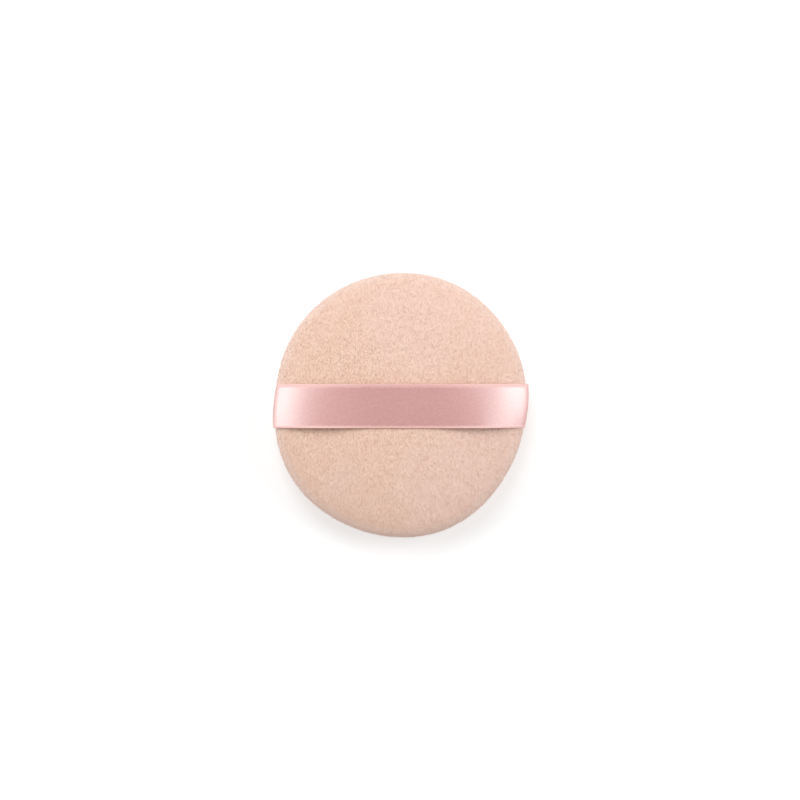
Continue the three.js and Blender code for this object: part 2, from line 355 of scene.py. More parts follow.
def cover_section(pad, pile, side):
    """The outside of a cover on a half section, from its pole round the fold to the end of the
    seam allowance: share of the radius, inset from the rim, height, and length along it. The
    ground of the velour lies a pile's height inside the cover's own surface."""
    pole = pad.crown_height if side == UPPER else -pad.base_cut
    power = pad.crown_power if side == UPPER else pad.base_power
    seam_face = pad.seam_height + side * pad.seam_gap / 2
    foot = seam_face + side * pad.fold_radius
    angle = np.linspace(0, QUARTER, 200)
    share = np.sin(angle) ** (2 / power)
    height = foot + (pole - side * pile.height - foot) * np.cos(angle).clip(0) ** (2 / power)
    inset = np.full_like(angle, pile.height)
    bend = np.linspace(0, QUARTER, 24)[1:]
    fold = pad.fold_radius
    share = np.r_[share, np.ones_like(bend)]
    inset = np.r_[inset, pile.height + fold * (1 - np.cos(bend))]
    height = np.r_[height, foot - side * fold * np.sin(bend)]
    across = np.linspace(pile.height + fold, pad.allowance_width, 30)[1:]
    share = np.r_[share, np.ones_like(across)]
    inset = np.r_[inset, across]
    height = np.r_[height, np.full_like(across, seam_face)]
    radius = share * (pad.radius - inset)
    steps = np.hypot(np.diff(radius), np.diff(height))
    return share, inset, height, np.r_[0, np.cumsum(steps)]


def cover_height(pad, x, y):
    """Height of the front cover over places given from the pad's own middle"""
    share = np.hypot(x, y) / outline_radius(pad, np.arctan2(y, x))
    foot = pad.seam_height + pad.seam_gap / 2 + pad.fold_radius
    power = pad.crown_power
    return foot + (pad.crown_height - foot) * (1 - share.clip(0, 1) ** power) ** (1 / power)


def settle_on_table(height, level):
    """Heights pressed up softly to a level, as the pad's own weight does"""
    softness = 0.1 * MM
    return level + softness * np.log1p(np.exp((height - level) / softness))


def lay_round(pad, around, place, section):
    """Places over a half section, at angles round the pad and at lengths along the section"""
    share, inset, height, length = section
    radius = np.interp(place, length, share) * (outline_radius(pad, around) - np.interp(place, length, inset))
    x, y = pad_middle(pad)
    z = np.interp(place, length, height)
    return np.c_[x + radius * np.cos(around), y + radius * np.sin(around), z]


def add_ball(name):
    """A fine ball of radius 1"""
    clear_selection()
    bpy.ops.mesh.primitive_ico_sphere_add(subdivisions=7, radius=1.0)
    ball = bpy.context.object
    ball.name = ball.data.name = name
    return ball


def cover_sheet(name, pad, pile, side):
    """One cover's outside as an open sheet: half a ball, laid over the section by its length"""
    sheet = add_ball(name)
    select_faces(sheet, lambda face: face.center.z * side < 0)
    bpy.ops.mesh.delete(type="FACE")
    bpy.ops.object.mode_set(mode="OBJECT")
    ball = coordinates(sheet)
    around = np.arctan2(ball[:, 1], ball[:, 0])
    down = np.arccos(np.clip(ball[:, 2] * side, 0, 1)) / QUARTER
    section = cover_section(pad, pile, side)
    places = lay_round(pad, around, down * section[-1][-1], section)
    if side == LOWER:
        places[:, 2] = settle_on_table(places[:, 2], pile.height)
    set_coordinates(sheet, places)
    return sheet


def hole_angles(pad, start, end, inset, pitch):
    """The angles of the needle holes of a seam between two angles, at an even pitch"""
    count = max(2, round((end - start) * (pad.radius - inset) / pitch))
    return start + (np.arange(count) + 0.5) / count * (end - start)


def seam_holes(pad, stitch):
    half = stitch.closing_length / 2 / (pad.radius - stitch.closing_inset)
    start, end = stitch.closing_angle - half, stitch.closing_angle + half
    machine = hole_angles(pad, end, start + TURN, stitch.seam_inset, stitch.pitch)
    closing = hole_angles(pad, start, end, stitch.closing_inset, stitch.closing_pitch)
    return machine, closing


def plump(sheet, pad, pile, stitch, swelling, side):
    """Lets the sewn cover swell: it is held by its stitches, cut a little larger than its seam,
    and pressed out by the foam, so that it gathers softly between the stitches"""
    start = coordinates(sheet)
    middle = pad_middle(pad)
    around = np.arctan2(start[:, 1] - middle[1], start[:, 0] - middle[0]) % TURN
    inset = outline_radius(pad, around) - np.hypot(start[:, 0] - middle[0], start[:, 1] - middle[1])
    holes = np.concatenate(seam_holes(pad, stitch)) % TURN
    turned = (around[:, None] - holes[None, :] + math.pi) % TURN - math.pi
    near_stitch = np.abs(turned).min(axis=1) * pad.radius < swelling.stitch_reach
    on_seam_face = np.abs(start[:, 2] - pad.seam_height) < pad.seam_gap
    stitched = (inset > swelling.stitched_inset) & near_stitch
    held = on_seam_face & ((inset > swelling.held_inset) | stitched)
    group = sheet.vertex_groups.new(name="stitched")
    group.add([int(index) for index in np.flatnonzero(held)], 1.0, "REPLACE")
    cloth = sheet.modifiers.new("Swelling", "CLOTH")
    settings = cloth.settings
    settings.quality, settings.mass = 5, 0.3
    settings.tension_stiffness = settings.compression_stiffness = 15
    settings.shear_stiffness, settings.bending_stiffness = 5, 0.02
    settings.vertex_group_mass = "stitched"
    settings.shrink_min = -0.012
    settings.use_pressure, settings.uniform_pressure_force = True, 14
    settings.effector_weights.gravity = 0
    cloth.point_cache.frame_start, cloth.point_cache.frame_end = 1, SWELLING_STEPS
    for step in range(1, SWELLING_STEPS + 1):
        bpy.context.scene.frame_set(step)
    apply_modifiers(sheet)
    moved = coordinates(sheet) - start
    travel = np.linalg.norm(moved, axis=1, keepdims=True)
    # The ribbon's ends hold the cover in.
    along, across = np.abs(start[:, 0] - middle[0]), np.abs(start[:, 1] - middle[1])
    beside = smooth_step(swelling.beside_full, swelling.beside_end, across)
    under = smooth_step(swelling.ribbon_start, swelling.ribbon_full, along) * (1 - beside)
    most = swelling.most
    moved *= (1 - under[:, None]) * np.tanh(travel / most) * most / np.maximum(travel, 1e-9)
    places = start + moved
    seam_face = pad.seam_height + side * pad.seam_gap / 2
    places[:, 2] = side * np.maximum(side * places[:, 2], side * seam_face)
    if side == LOWER:
        places[:, 2] = settle_on_table(places[:, 2], pile.height)
    set_coordinates(sheet, places)
    bpy.context.scene.frame_set(1)


def smooth_step(low, high, value):
    part = np.clip((value - low) / (high - low), 0, 1)
    return part * part * (3 - 2 * part)


def mark_pile(sheet, pad, pile, ribbon, side):
    """Vertex groups: piled is where the velour shows its pile, and brushed is the same without the
    places that the ribbon's ends press flat. The attribute fanned grows towards the rim,
    where it paints the velour paler for the light that shows through the fuzz there."""
    places = coordinates(sheet)
    middle = pad_middle(pad)
    off_seam = np.abs(places[:, 2] - pad.seam_height) - pad.seam_gap / 2
    piled = smooth_step(0.02 * MM, 0.6 * MM, off_seam)
    across = np.abs(places[:, 1] - middle[1])
    along = np.abs(places[:, 0] - middle[0])
    under_ribbon = (across < ribbon.width / 2 + 0.5 * MM) & (along > pad.radius - ribbon.tail)
    pressed_height = 5 * MM if side == UPPER else 1.5 * MM
    pressed = under_ribbon & (side * (places[:, 2] - pad.seam_height) < pressed_height)
    brushed = np.where(pressed, 0, piled)
    around = np.arctan2(places[:, 1] - middle[1], places[:, 0] - middle[0])
    inset = outline_radius(pad, around) - np.hypot(places[:, 0] - middle[0], places[:, 1] - middle[1])
    # Painted rim glow: 1 at the rim and 0 further in. The velour's colour goes paler by it.
    fanned = sheet.data.attributes.new("fanned", "FLOAT", "POINT")
    fanned.data.foreach_set("value", 1 - smooth_step(pile.rim_glow_full, pile.rim_glow_end, inset))
    for name, weights in (("piled", piled), ("brushed", brushed)):
        group = sheet.vertex_groups.new(name=name)
        for level in np.unique(np.round(weights, 2)):
            indices = np.flatnonzero(np.round(weights, 2) == level)
            group.add([int(index) for index in indices], float(level), "REPLACE")


def geometry_tree(name):
    tree = bpy.data.node_groups.new(name, "GeometryNodeTree")
    for way in ("INPUT", "OUTPUT"):
        tree.interface.new_socket("Geometry", in_out=way, socket_type="NodeSocketGeometry")
    return tree


def streak_noise(tree, place, pile, scale=1.0):
    """Noise in which one streak of the brushed velour is one unit wide and long"""
    size = (1 / pile.tuft_width, 1 / pile.tuft_length, 1 / pile.tuft_width)
    moved = combine(tree, "ADD", combine(tree, "MULTIPLY", place, size), (3.0, 3.0, 3.0))
    return noise_at(tree, moved, 1.0, scale)


def named_value(tree, name):
    """A value that the piece's points carry, in a geometry tree"""
    return add_node(tree, "GeometryNodeInputNamedAttribute", {"Name": name}, data_type="FLOAT").outputs[0]


def move_points(tree, geometry, **way):
    """The points moved by an Offset or to a Position, joined to the tree's output"""
    moved = add_node(tree, "GeometryNodeSetPosition", {"Geometry": geometry, **way})
    add_node(tree, "NodeGroupOutput", {0: moved.outputs[0]})


def apply_tree(piece, tree):
    piece.modifiers.new(tree.name, "NODES").node_group = tree
    apply_modifiers(piece)


def add_relief(sheet, pile):
    """Lifts the velour's ground into soft streaks along the brushing"""
    tree = geometry_tree("Velour relief")
    start = add_node(tree, "NodeGroupInput")
    place = add_node(tree, "GeometryNodeInputPosition")
    level = calculate(tree, "SUBTRACT", streak_noise(tree, place.outputs[0], pile).outputs[0], 0.5)
    depth = calculate(tree, "MULTIPLY", level, 2 * pile.relief)
    masked = calculate(tree, "MULTIPLY", depth, named_value(tree, "piled"))
    normal = add_node(tree, "GeometryNodeInputNormal")
    move_points(tree, start.outputs[0], Offset=scale_vector(tree, normal.outputs[0], masked))
    apply_tree(sheet, tree)


def lining_section(pad, side):
    """The inside of a cover from the end of the seam allowance to near its middle"""
    seam_face = pad.seam_height + side * pad.seam_gap / 2
    allowance_face = seam_face + side * pad.allowance_thickness
    pole = (pad.crown_height if side == UPPER else -pad.base_cut) - side * pad.cover_thickness
    power = pad.crown_power if side == UPPER else pad.base_power
    stations = [(1.0, pad.allowance_width, allowance_face)]
    for angle in np.linspace(QUARTER, 0, 13)[:-1]:
        share = math.sin(angle) ** (2 / power)
        rise = max(math.cos(angle), 0) ** (2 / power)
        stations.append((share, pad.cover_thickness, allowance_face + (pole - allowance_face) * rise))
    return stations


def close_with_lining(sheet, pad, side):
    """Extrudes the end of the seam allowance up, out and along the inside of the cover"""
    middle = pad_middle(pad)
    pick(sheet)
    bpy.ops.object.mode_set(mode="EDIT")
    bpy.ops.mesh.select_mode(type="EDGE")
    bpy.ops.mesh.select_all(action="DESELECT")
    bpy.ops.mesh.select_non_manifold()
    for share, inset, height in lining_section(pad, side):
        bpy.ops.mesh.extrude_edges_move()
        bpy.ops.object.mode_set(mode="OBJECT")
        for vertex in sheet.data.vertices:
            if vertex.select:
                around = math.atan2(vertex.co.y - middle[1], vertex.co.x - middle[0])
                radius = share * (outline_radius(pad, around) - inset)
                vertex.co = (
                    middle[0] + radius * math.cos(around), middle[1] + radius * math.sin(around), height
                )
        bpy.ops.object.mode_set(mode="EDIT")
    bpy.ops.mesh.extrude_edges_move()
    bpy.ops.mesh.merge(type="CENTER")
    bpy.ops.mesh.select_all(action="SELECT")
    bpy.ops.mesh.normals_make_consistent(inside=False)
    bpy.ops.object.mode_set(mode="OBJECT")


def make_fibre(pile):
    """One tuft of fibres: a thin tapered spike with its root at the origin"""
    clear_selection()
    bpy.ops.mesh.primitive_cone_add(
        vertices=3,
        radius1=pile.fibre_radius,
        radius2=0,
        depth=pile.fibre_length,
        location=(0, 0, pile.fibre_length / 2),
    )
    fibre = bpy.context.object
    fibre.name = "fibre"
    bpy.ops.object.transform_apply(location=True, rotation=True, scale=True)
    return fibre


def add_pile(name, cover, fibre, pile, seed):
    """Scatters the tufts over a cover. They lie along the brushing, those of one streak together,
    and none goes through the table."""
    pick(cover)
    piece = cover.copy()
    piece.data = cover.data.copy()
    piece.name = piece.data.name = name
    bpy.context.collection.objects.link(piece)
    tree = geometry_tree("Velour pile")
    start = add_node(tree, "NodeGroupInput")
    density = calculate(tree, "MULTIPLY", named_value(tree, "brushed"), pile.fibre_spacing**-2)
    points = add_node(
        tree,
        "GeometryNodeDistributePointsOnFaces",
        {"Mesh": start.outputs[0], "Density": density, "Seed": seed},
        distribute_method="RANDOM",
    )
    normal = points.outputs["Normal"]
    place = add_node(tree, "GeometryNodeInputPosition")
    streak = streak_noise(tree, place.outputs[0], pile, 0.8).outputs["Color"]
    streak_lean = scale_vector(tree, combine(tree, "SUBTRACT", streak, (0.5, 0.5, 0.5)), 0.6)
    loose = add_node(
        tree,
        "FunctionNodeRandomValue",
        {0: (-0.2, -0.2, -0.2), 1: (0.2, 0.2, 0.2), "Seed": seed + 1},
        data_type="FLOAT_VECTOR",
    )
    rise = add_node(tree, "ShaderNodeVectorMath", {0: normal, 1: BRUSHING}, operation="DOT_PRODUCT")
    lifted = scale_vector(tree, normal, rise.outputs["Value"])
    lying = combine(tree, "NORMALIZE", combine(tree, "SUBTRACT", BRUSHING, lifted))
    leaning = combine(tree, "ADD", scale_vector(tree, normal, 0.3), lying)
    way = combine(tree, "ADD", combine(tree, "ADD", leaning, streak_lean), loose.outputs[0])
    turned = add_node(tree, "FunctionNodeAlignRotationToVector", {"Vector": way}, axis="Z")
    length = add_node(
        tree, "FunctionNodeRandomValue", {2: 0.6, 3: 1.25, "Seed": seed + 2}, data_type="FLOAT"
    )
    one = add_node(tree, "GeometryNodeObjectInfo", {"Object": fibre})
    placed = add_node(
        tree,
        "GeometryNodeInstanceOnPoints",
        {
            "Points": points.outputs["Points"],
            "Instance": one.outputs["Geometry"],
            "Rotation": turned.outputs[0],
            "Scale": length.outputs[1],
        },
    )
    real = add_node(tree, "GeometryNodeRealizeInstances", {0: placed.outputs[0]})
    spot = add_node(tree, "GeometryNodeInputPosition")
    x, y, z = add_node(tree, "ShaderNodeSeparateXYZ", {0: spot.outputs[0]}).outputs
    above = calculate(tree, "MAXIMUM", z, 0.01 * MM)
    kept = add_node(tree, "ShaderNodeCombineXYZ", {0: x, 1: y, 2: above})
    move_points(tree, real.outputs[0], Position=kept.outputs[0])
    apply_tree(piece, tree)
    return piece


def finish_piece(piece, material, slot, *nodes):
    """Gives a finished piece its material and its body, and hides the CAD nodes that it stands in for"""
    piece.data.materials.clear()
    piece.data.materials.append(material)
    for face in piece.data.polygons:
        face.material_index = 0
    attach(piece, "root")
    if nodes:
        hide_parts(*nodes)


def foam_section(pad, stitch):
    """The half section of the foam disc from its top to its bottom: share of the radius, inset
    from the rim, height, and length along it"""
    room = stitch.thread_diameter + stitch.thread_clearance
    allowance = pad.seam_gap / 2 + pad.allowance_thickness
    core_foot = allowance + stitch.thread_clearance + stitch.thread_diameter / 2 + room
    inset = pad.cover_thickness + pad.core_clearance
    waist = pad.allowance_width + pad.core_clearance
    angle = np.linspace(0, QUARTER, 120)
    rows = []
    for side, pole, power in (
        (UPPER, pad.crown_height - inset, pad.crown_power),
        (LOWER, inset - pad.base_cut, pad.base_power),
    ):
        foot = pad.seam_height + side * allowance
        height = foot + (pole - foot) * np.cos(angle).clip(0) ** (2 / power)
        floor = pad.seam_height + side * core_foot
        half = [
            (share, inset, level)
            for share, level in zip(np.sin(angle) ** (2 / power), height)
            if side * (level - floor) > 0
        ]
        last = half[-1][0]
        half += [
            (last + (1 - last) * part, inset + (waist - inset) * part, floor)
            for part in np.linspace(0, 1, 12)
        ]
        half += [
            (1.0, waist, floor + (pad.seam_height - floor) * part)
            for part in np.linspace(0, 1, 6)[1:]
        ]
        rows += half if side == UPPER else half[::-1][1:]
    share, insets, height = np.array(rows).T
    steps = np.hypot(np.diff(share * (pad.radius - insets)), np.diff(height))
    return share, insets, height, np.r_[0, np.cumsum(steps)]


def make_foam(pad, stitch):
    """The foam disc: a ball laid over its half section by its length"""
    foam = add_ball("foam_disc")
    ball = coordinates(foam)
    around = np.arctan2(ball[:, 1], ball[:, 0])
    section = foam_section(pad, stitch)
    place = np.arccos(np.clip(ball[:, 2], -1, 1)) / math.pi * section[-1][-1]
    set_coordinates(foam, lay_round(pad, around, place, section))
    return foam


def ribbon_line(pad, ribbon, y):
    """The middle of the ribbon's thickness at a place across it, from the left tail to the right"""
    springing = pad.seam_height + ribbon.bend_radius
    way, steep = np.array(DRAPE_SHARES).T
    fall = np.interp(np.linspace(0, 1, 400), way, steep) * QUARTER
    out, down = np.cumsum(np.cos(fall)), np.cumsum(np.sin(fall))
    halves = []
    for side in (-1, 1):
        reach = rim_reach(pad, side, np.array([y]))[0] + ribbon.rim_room + side * ribbon.end_slant * y
        tail = rim_reach(pad, side, np.array([0.0]))[0] - ribbon.tail
        x = (out - out[0]) / (out[-1] - out[0]) * reach
        z = springing + (down[-1] - down) / out[-1] * pad.radius
        bend = np.linspace(0, QUARTER, 16)[1:]
        x = np.r_[x, reach - ribbon.bend_radius * (1 - np.cos(bend)), tail]
        z = np.r_[z, springing - ribbon.bend_radius * np.sin(bend), pad.seam_height]
        halves.append((side * x, z))
    x = np.r_[halves[0][0][::-1], halves[1][0][1:]]
    z = np.r_[halves[0][1][::-1], halves[1][1][1:]]
    return x, z


def ripple(along, across, seed):
    """A smooth uneven wave, the same every time: the sum of a few sines"""
    total = np.zeros_like(along)
    rng = np.random.default_rng(seed)
    for _ in range(6):
        wave, tilt, phase = rng.uniform(0.5, 1.6), rng.uniform(-0.5, 0.5), rng.uniform(0, TURN)
        total += np.sin(TURN * (along * wave + across * tilt) + phase)
    return total / 6


def make_ribbon(pad, ribbon):
    """The satin ribbon: a flat grid laid along its arch, over the rim and into the seam"""
    clear_selection()
    bpy.ops.mesh.primitive_grid_add(x_subdivisions=300, y_subdivisions=48, size=1.0)
    piece = bpy.context.object
    piece.name = piece.data.name = "satin_ribbon"
    flat = coordinates(piece)
    share, across = flat[:, 0] + 0.5, flat[:, 1] * ribbon.width
    places = np.empty_like(flat)
    for y in np.unique(np.round(across, 7)):
        column = np.abs(across - y) < 1e-6
        x, z = ribbon_line(pad, ribbon, y)
        length = np.r_[0, np.cumsum(np.hypot(np.diff(x), np.diff(z)))]
        at = share[column] * length[-1]
        places[column] = np.c_[np.interp(at, length, x), np.full(column.sum(), y), np.interp(at, length, z)]
    free = smooth_step(4 * MM, 10 * MM, places[:, 2] - pad.seam_height)
    along = share * ribbon.flat_length
    places[:, 2] += free * ribbon.waviness * ripple(along / (22 * MM), across / ribbon.width, 4)
    # Along the middle of its near edge the limp ribbon all but lies on the pile.
    in_middle = 1 - smooth_step(8 * MM, 30 * MM, np.abs(places[:, 0]))
    lean = in_middle * (0.5 - across / ribbon.width).clip(0)
    above = places[:, 2] - cover_height(pad, places[:, 0], across) - ribbon.near_room
    places[:, 2] -= free * lean * np.maximum(above, 0)
    half = ribbon.width / 2
    far_edge = smooth_step(half - ribbon.far_turn, half, across)
    near_edge = smooth_step(half - ribbon.near_turn, half, -across)
    places[:, 2] += free * (ribbon.near_lift * near_edge**2 - ribbon.far_drop * far_edge**2)
    edge = smooth_step(half - 0.5 * MM, half, np.abs(across))
    places[:, 1] += edge * ribbon.edge_waviness * ripple(along / (1.3 * MM), np.sign(across) * 0.5, 9)
    places[:, :2] += pad_middle(pad) + (ribbon.aside, -ribbon.forward)
    set_coordinates(piece, places)
    selvedge = smooth_step(half - ribbon.selvedge, half - 0.6 * ribbon.selvedge, np.abs(across))
    group = piece.vertex_groups.new(name="selvedge")
    for index, level in enumerate(selvedge):
        group.add([index], float(level), "REPLACE")
    wall = piece.modifiers.new("Thickness", "SOLIDIFY")
    wall.thickness = ribbon.thickness
    wall.offset = 0
    wall.vertex_group = "selvedge"
    wall.thickness_vertex_group = 0.8
    edge_round = piece.modifiers.new("Soft edges", "BEVEL")
    edge_round.limit_method = "ANGLE"
    edge_round.angle_limit = math.radians(60)
    edge_round.width = 0.06 * MM
    edge_round.segments = 2
    apply_modifiers(piece)
    bpy.ops.object.shade_smooth_by_angle(angle=math.radians(50))
    return piece


def make_thread(name, points, stitch):
    """A sewing thread: a round bevelled path through its points, made a mesh"""
    clear_selection()
    bpy.ops.curve.primitive_nurbs_path_add()
    thread = bpy.context.object
    thread.name = thread.data.name = name
    spline = thread.data.splines[0]
    spline.points.add(len(points) - len(spline.points))
    for point, place in zip(spline.points, points):
        point.co = (*place, 1.0)
    spline.order_u = 3
    spline.use_endpoint_u = True
    spline.resolution_u = 3
    thread.data.bevel_depth = stitch.thread_diameter / 2
    thread.data.bevel_resolution = 2
    thread.data.use_fill_caps = True
    bpy.ops.object.convert(target="MESH")
    bpy.ops.object.shade_smooth()
    return bpy.context.object


def beside_hole(pad, angle, inset, along, across, up):
    """A place beside a needle hole: along the seam, across it towards the rim, and up"""
    middle = pad_middle(pad)
    turned = angle + along / (pad.radius - inset)
    radius = outline_radius(pad, turned) - inset + across
    return (
        middle[0] + radius * math.cos(turned),
        middle[1] + radius * math.sin(turned),
        pad.seam_height + up,
    )


def thread_points(pad, stitch):
    """The needle thread's, the bobbin thread's and the closing thread's points"""
    room = stitch.thread_diameter + stitch.thread_clearance
    twist = room / math.sqrt(2)
    top = pad.seam_gap / 2 + pad.allowance_thickness + stitch.thread_clearance + stitch.thread_diameter / 2
    machine, closing = seam_holes(pad, stitch)
    turns = ((-2, 0, top), (-1, twist, 0), (0, 0, -twist), (1, -twist, 0), (2, 0, top))
    lines = []
    for side in (UPPER, LOWER):
        lines.append([
            beside_hole(pad, angle, stitch.seam_inset, step * room, side * across, side * up)
            for angle in machine
            for step, across, up in turns
        ])
    ladder = []
    for hole, angle in enumerate(closing):
        start = top if hole % 2 == 0 else -top
        for step, up in ((-1, start), (0, 0), (1, -start)):
            ladder.append(beside_hole(pad, angle, stitch.closing_inset, step * room, 0, up))
    lines.append(ladder)
    return lines


def new_material(name):
    material = bpy.data.materials.new(name)
    material.use_nodes = True
    material.node_tree.nodes.clear()
    return material, material.node_tree


def object_place(tree):
    return add_node(tree, "ShaderNodeTexCoord").outputs["Object"]


def scaled_place(tree, *size):
    """Object coordinates in which a pattern of the given size in metres is one unit"""
    scale = [1 / part for part in size]
    return add_node(tree, "ShaderNodeMapping", {"Vector": object_place(tree), "Scale": scale}).outputs[0]


def blend(tree, share, first, second):
    """A colour between two, each a hex value or a socket"""
    first, second = (linear(shade) if isinstance(shade, str) else shade for shade in (first, second))
    return add_node(tree, "ShaderNodeMix", {0: share, 6: first, 7: second}, data_type="RGBA").outputs[2]


def spread(tree, value, low, high, start=0.0, end=1.0, **settings):
    """A number from start to end, by where a value lies between low and high"""
    inputs = {"Value": value, "From Min": low, "From Max": high, "To Min": start, "To Max": end}
    return add_node(tree, "ShaderNodeMapRange", inputs, **settings).outputs[0]


def bumps(tree, height, strength, distance, **under):
    """A normal with small bumps, over another Normal if one is given"""
    inputs = {"Strength": strength, "Distance": distance, "Height": height, **under}
    return add_node(tree, "ShaderNodeBump", inputs).outputs[0]


def use_shader(tree, look):
    """The material's one shader with its inputs, joined to the output"""
    shader = add_node(tree, "ShaderNodeBsdfPrincipled", look)
    add_node(tree, "ShaderNodeOutputMaterial", {"Surface": shader.outputs[0]})


def cotton_look(colours):
    """What the pile and its loose tips share: no gloss, and a pale bloom where they turn away"""
    return {
        "Specular IOR Level": 0.2,
        "Sheen Weight": 0.55,
        "Sheen Roughness": 0.3,
        "Sheen Tint": linear(colours.bloom),
    }


def rim_glow_colour(tree, colour, colours):
    """A colour that goes over to a paler painted rim glow towards the rim, where light shows through the fuzz
    """
    fanned = add_node(tree, "ShaderNodeAttribute", attribute_name="fanned")
    return blend(tree, fanned.outputs["Fac"], colour, colours.velour_rim_glow)


def velour_material(colours, pile):
    """Brushed cotton velour, knitted and sheared. Short upright pile scatters the light evenly, so
    it has no gloss, a pale bloom where it turns away, and soft streaks along the brushing."""
    material, tree = new_material("Brushed cotton velour")
    place = object_place(tree)
    # The colour follows the relief's streak noise, so its darker peach is painted shade in the hollows
    # between the streaks.
    level = spread(tree, streak_noise(tree, place, pile).outputs[0], 0.3, 0.62)
    nap = blend(tree, level, colours.velour_hollow_shade, colours.velour)
    cloud = noise_at(tree, scaled_place(tree, 26 * MM, 26 * MM, 26 * MM), 2.0)
    # The dye is a little pinker towards one side of the pad.
    across = add_node(tree, "ShaderNodeSeparateXYZ", {0: place})
    shift = calculate(tree, "MULTIPLY_ADD", across.outputs[0], 0.1 / (40 * MM), cloud.outputs[0])
    colour = blend(tree, spread(tree, shift, 0.4, 0.64, end=0.55), nap, colours.velour_rose)
    fine = noise_at(tree, scaled_place(tree, 0.28 * MM, 0.6 * MM, 0.28 * MM), 2.0)
    use_shader(tree, {
        **cotton_look(colours),
        # Painted rim glow: the base colour goes paler towards the rim.
        "Base Color": rim_glow_colour(tree, colour, colours),
        "Roughness": 0.95,
        "Normal": bumps(tree, fine.outputs[0], 0.3, 0.12 * MM),
    })
    return material


def pile_material(colours):
    """Loose cotton fibre tips of the same velour. They are too thin to carry a pattern, so only
    their soft, matt, slightly paler colour shows, with painted paler light at the rim."""
    material, tree = new_material("Cotton velour fibre tips")
    colour = rim_glow_colour(tree, colours.pile, colours)
    use_shader(tree, {**cotton_look(colours), "Base Color": colour, "Roughness": 0.9})
    return material


def foam_material(colours):
    """Open-cell polyurethane foam, cut from a block. Burst cells of about 0.5 mm pit its surface."""
    material, tree = new_material("Open-cell polyurethane foam")
    place = scaled_place(tree, 0.5 * MM, 0.5 * MM, 0.5 * MM)
    cells = add_node(tree, "ShaderNodeTexVoronoi", {"Vector": place, "Scale": 1.0}).outputs["Distance"]
    use_shader(tree, {
        # Painted shade: the cream is darkest at the cells' middles, where the bumps sink into pits.
        "Base Color": blend(tree, cells, colours.foam_pit_shade, colours.foam),
        "Roughness": 0.9,
        "Normal": bumps(tree, cells, 0.7, 0.25 * MM),
    })
    return material


def satin_material(colours, ribbon):
    """Single-face polyester satin, woven as a ribbon. Long warp floats lie side by side along it,
    so light runs along them in a soft band. The plain woven edges are paler and duller."""
    material, tree = new_material("Woven polyester satin ribbon")
    layout = add_node(tree, "ShaderNodeUVMap", uv_map="UVMap")
    laid = combine(tree, "MULTIPLY", layout.outputs[0], (ribbon.flat_length, ribbon.width, 1.0))

    def woven(along, across):
        """Places on the ribbon in which a pattern of this size is one unit"""
        return combine(tree, "MULTIPLY", laid, (1 / along, 1 / across, 1.0))

    parts = add_node(tree, "ShaderNodeSeparateXYZ", {0: laid})
    off_middle = calculate(tree, "SUBTRACT", parts.outputs[1], ribbon.width / 2 - ribbon.uneven)
    from_middle = calculate(tree, "ABSOLUTE", off_middle)
    inner = ribbon.width / 2 - ribbon.selvedge
    # The satin doesn't end on one line: some floats reach further into the woven edge.
    mottle = noise_at(tree, woven(1.1 * MM, 0.9 * MM), 1.0).outputs[0]
    ragged = calculate(tree, "MULTIPLY_ADD", mottle, 0.7 * MM, from_middle)
    edge = spread(tree, ragged, inner + 0.1 * MM, inner + 0.7 * MM, interpolation_type="SMOOTHSTEP")
    # Real floats are about 0.1 mm wide. They are drawn 0.45 mm wide, because finer ones don't show.
    floats = noise_at(tree, woven(6 * MM, 0.45 * MM), 2.0).outputs[0]
    # The binding points of the weft, about 0.35 mm apart along the ribbon.
    spots = {"Vector": woven(0.35 * MM, 0.35 * MM), "Scale": 1.0, "Randomness": 0.35}
    binding = add_node(tree, "ShaderNodeTexVoronoi", spots).outputs["Distance"]
    # The darker pink is partly real mottle and partly painted shade, deepest where the floats' bumps sink.
    uneven = calculate(tree, "MULTIPLY_ADD", floats, 0.4, mottle)
    body = blend(tree, spread(tree, uneven, 0.55, 0.85), colours.ribbon_mottle_and_shade, colours.ribbon)
    float_bumps = bumps(tree, floats, 0.2, 0.05 * MM)
    along = add_node(tree, "ShaderNodeTangent", direction_type="UV_MAP", uv_map="UVMap")
    use_shader(tree, {
        "Base Color": blend(tree, edge, body, colours.ribbon_edge),
        "Roughness": spread(tree, edge, 0.0, 1.0, 0.43, 0.6),
        "IOR": 2.2,
        "Specular IOR Level": 1.0,
        "Anisotropic": 0.5,
        "Sheen Weight": 0.15,
        "Sheen Roughness": 0.4,
        "Normal": bumps(tree, binding, 0.15, 0.05 * MM, Normal=float_bumps),
        "Tangent": along.outputs[0],
    })
    return material


def thread_material(colours):
    """Spun polyester sewing thread, two plies twisted together. Its short fibres keep it matt."""
    material, tree = new_material("Spun polyester sewing thread")
    twist = {"Vector": scaled_place(tree, 0.25 * MM, 0.25 * MM, 0.25 * MM), "Scale": 1.0, "Distortion": 1.5}
    plies = add_node(tree, "ShaderNodeTexWave", twist, bands_direction="DIAGONAL").outputs[1]
    use_shader(tree, {
        # Painted shade: the thread is darker where the plies' bumps sink between them.
        "Base Color": blend(tree, plies, colours.thread_groove_shade, colours.thread),
        "Roughness": 0.7,
        "Normal": bumps(tree, plies, 0.5, 0.05 * MM),
    })
    return material


def table_material(stage):
    """Opal acrylic sheet, lit from below as product tables are. It shows as plain white, and only
    the light that falls on it from above can be shaded."""
    material, tree = new_material("Lit opal acrylic")
    tooth = noise_at(tree, scaled_place(tree, 1.5 * MM, 1.5 * MM, 1.5 * MM), 3.0)
    use_shader(tree, {
        "Base Color": linear(stage.table),
        "Roughness": 0.95,
        "Specular IOR Level": 0.1,
        "Emission Color": linear(stage.glow),
        "Emission Strength": stage.table_light,
        "Normal": bumps(tree, tooth.outputs[0], 0.05, 0.05 * MM),
    })
    return material


